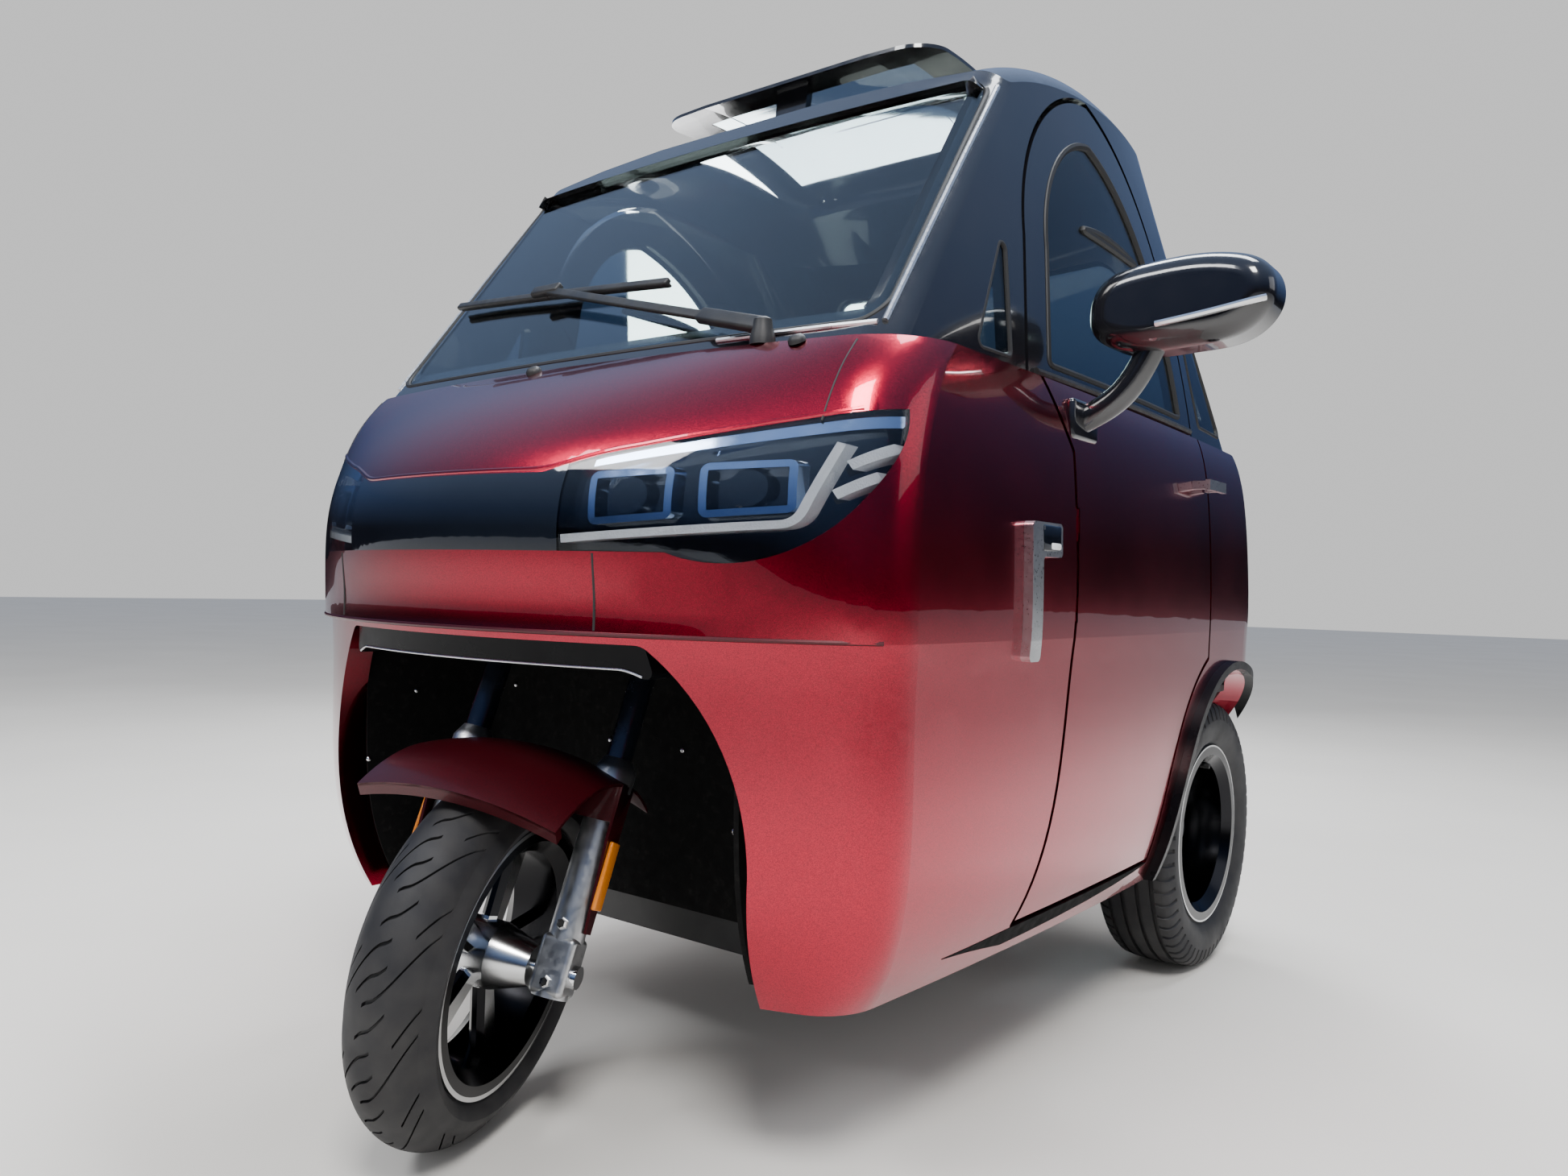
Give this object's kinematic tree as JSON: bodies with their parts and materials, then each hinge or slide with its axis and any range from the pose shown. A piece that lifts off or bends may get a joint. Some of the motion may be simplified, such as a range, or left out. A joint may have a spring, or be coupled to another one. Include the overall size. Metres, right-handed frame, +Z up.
{
  "type": "cabin scooter",
  "caption": "Three-wheeled electric cabin scooter with one steered front wheel, hinged doors, tailgate and tilting glass sunroof.",
  "frame": {"origin": "on the ground, under the middle of the overall box", "axes": "+Z up, -Y towards the front, +X towards the driver's left"},
  "size_m": [1.5904, 1.9002, 1.5592],
  "materials": {
    "paint_red": "gloss",
    "gloss_black": "gloss",
    "glass": "gloss",
    "lens": "gloss",
    "lens_red": "gloss",
    "lens_white": "gloss",
    "chrome": "polished",
    "black_plastic": "matte",
    "black_steel": "satin",
    "steel": "satin",
    "silver": "satin",
    "seat_fabric": "matte",
    "tyre": "matte"
  },
  "bodies": {
    "body": {"arch_trims": "gloss_black", "battery_box": "black_plastic", "chassis_frame": "black_steel", "dash_shelf": "black_plastic", "floor_pan": "black_plastic", "front_fenders": "paint_red", "headlamp_lenses": "lens", "headlamp_units": "gloss_black", "hood": "paint_red", "lamp_band": "gloss_black", "lamp_trims": "chrome", "leaf_springs": "black_steel", "light_strips": "lens_white", "mouth_lip": "gloss_black", "nose_panel": "paint_red", "quarter_glass": "glass", "rear_axle": "black_steel", "rear_deck": "black_plastic", "rear_frame": "gloss_black", "rear_glass": "glass", "rear_quarters": "paint_red", "roof_panel": "gloss_black", "screen_pillars": "gloss_black", "seat_back": "seat_fabric", "seat_cushion": "seat_fabric", "side_markers": "silver", "sills": "paint_red", "tail_lamps": "lens_red", "tail_panel": "paint_red", "wheel_liner": "black_plastic", "windscreen": "glass", "wiper": "black_plastic"},
    "door_left": {"door_left_panel": "paint_red", "door_left_frame": "gloss_black", "door_left_glass": "glass", "door_left_handle": "chrome", "door_left_mirror": "gloss_black"},
    "door_right": {"door_right_panel": "paint_red", "door_right_frame": "gloss_black", "door_right_glass": "glass", "door_right_handle": "chrome", "door_right_mirror": "gloss_black"},
    "tailgate": {"tailgate": "paint_red"},
    "sunroof": {"sunroof_frame": "gloss_black", "sunroof_glass": "glass"},
    "fork": {"fork_legs": "silver", "fork_stanchions": "black_steel", "steering_stem": "black_steel", "handlebar": "black_steel", "front_axle": "steel", "mudguard": "paint_red"},
    "front_wheel": {"front_tyre": "tyre", "front_rim": "silver"},
    "rear_wheel_left": {"rear_tyre_left": "tyre", "rear_rim_left": "silver"},
    "rear_wheel_right": {"rear_tyre_right": "tyre", "rear_rim_right": "silver"}
  },
  "joints": [
    {"name": "steering", "type": "hinge", "parent": "body", "child": "fork", "pos_m": [0, -0.69532, 0.22269], "axis": [0, 0.3584, 0.9336], "range_deg": [-61, 14]},
    {"name": "front_wheel_spin", "type": "hinge", "parent": "fork", "child": "front_wheel", "pos_m": [0.0139, -0.72531, 0.2342], "axis": [0.9178, 0.3708, -0.1423], "continuous": true},
    {"name": "rear_wheel_left_spin", "type": "hinge", "parent": "body", "child": "rear_wheel_left", "pos_m": [0.44, 0.602, 0.254], "axis": [1, 0, 0], "continuous": true},
    {"name": "rear_wheel_right_spin", "type": "hinge", "parent": "body", "child": "rear_wheel_right", "pos_m": [-0.44, 0.602, 0.254], "axis": [1, 0, 0], "continuous": true},
    {"name": "door_left_hinge", "type": "hinge", "parent": "body", "child": "door_left", "pos_m": [0.545, -0.157, 0.745], "axis": [0, 0, -1], "range_deg": [0, 62]},
    {"name": "door_right_hinge", "type": "hinge", "parent": "body", "child": "door_right", "pos_m": [-0.545, -0.157, 0.745], "axis": [0, 0, 1], "range_deg": [0, 62]},
    {"name": "tailgate_hinge", "type": "hinge", "parent": "body", "child": "tailgate", "pos_m": [0, 0.9445, 0.928], "axis": [1, 0, 0], "range_deg": [0, 75]},
    {"name": "sunroof_tilt", "type": "hinge", "parent": "body", "child": "sunroof", "pos_m": [0, 0.268, 1.4994], "axis": [-1, 0, 0], "range_deg": [-8.5, 0]}
  ]
}
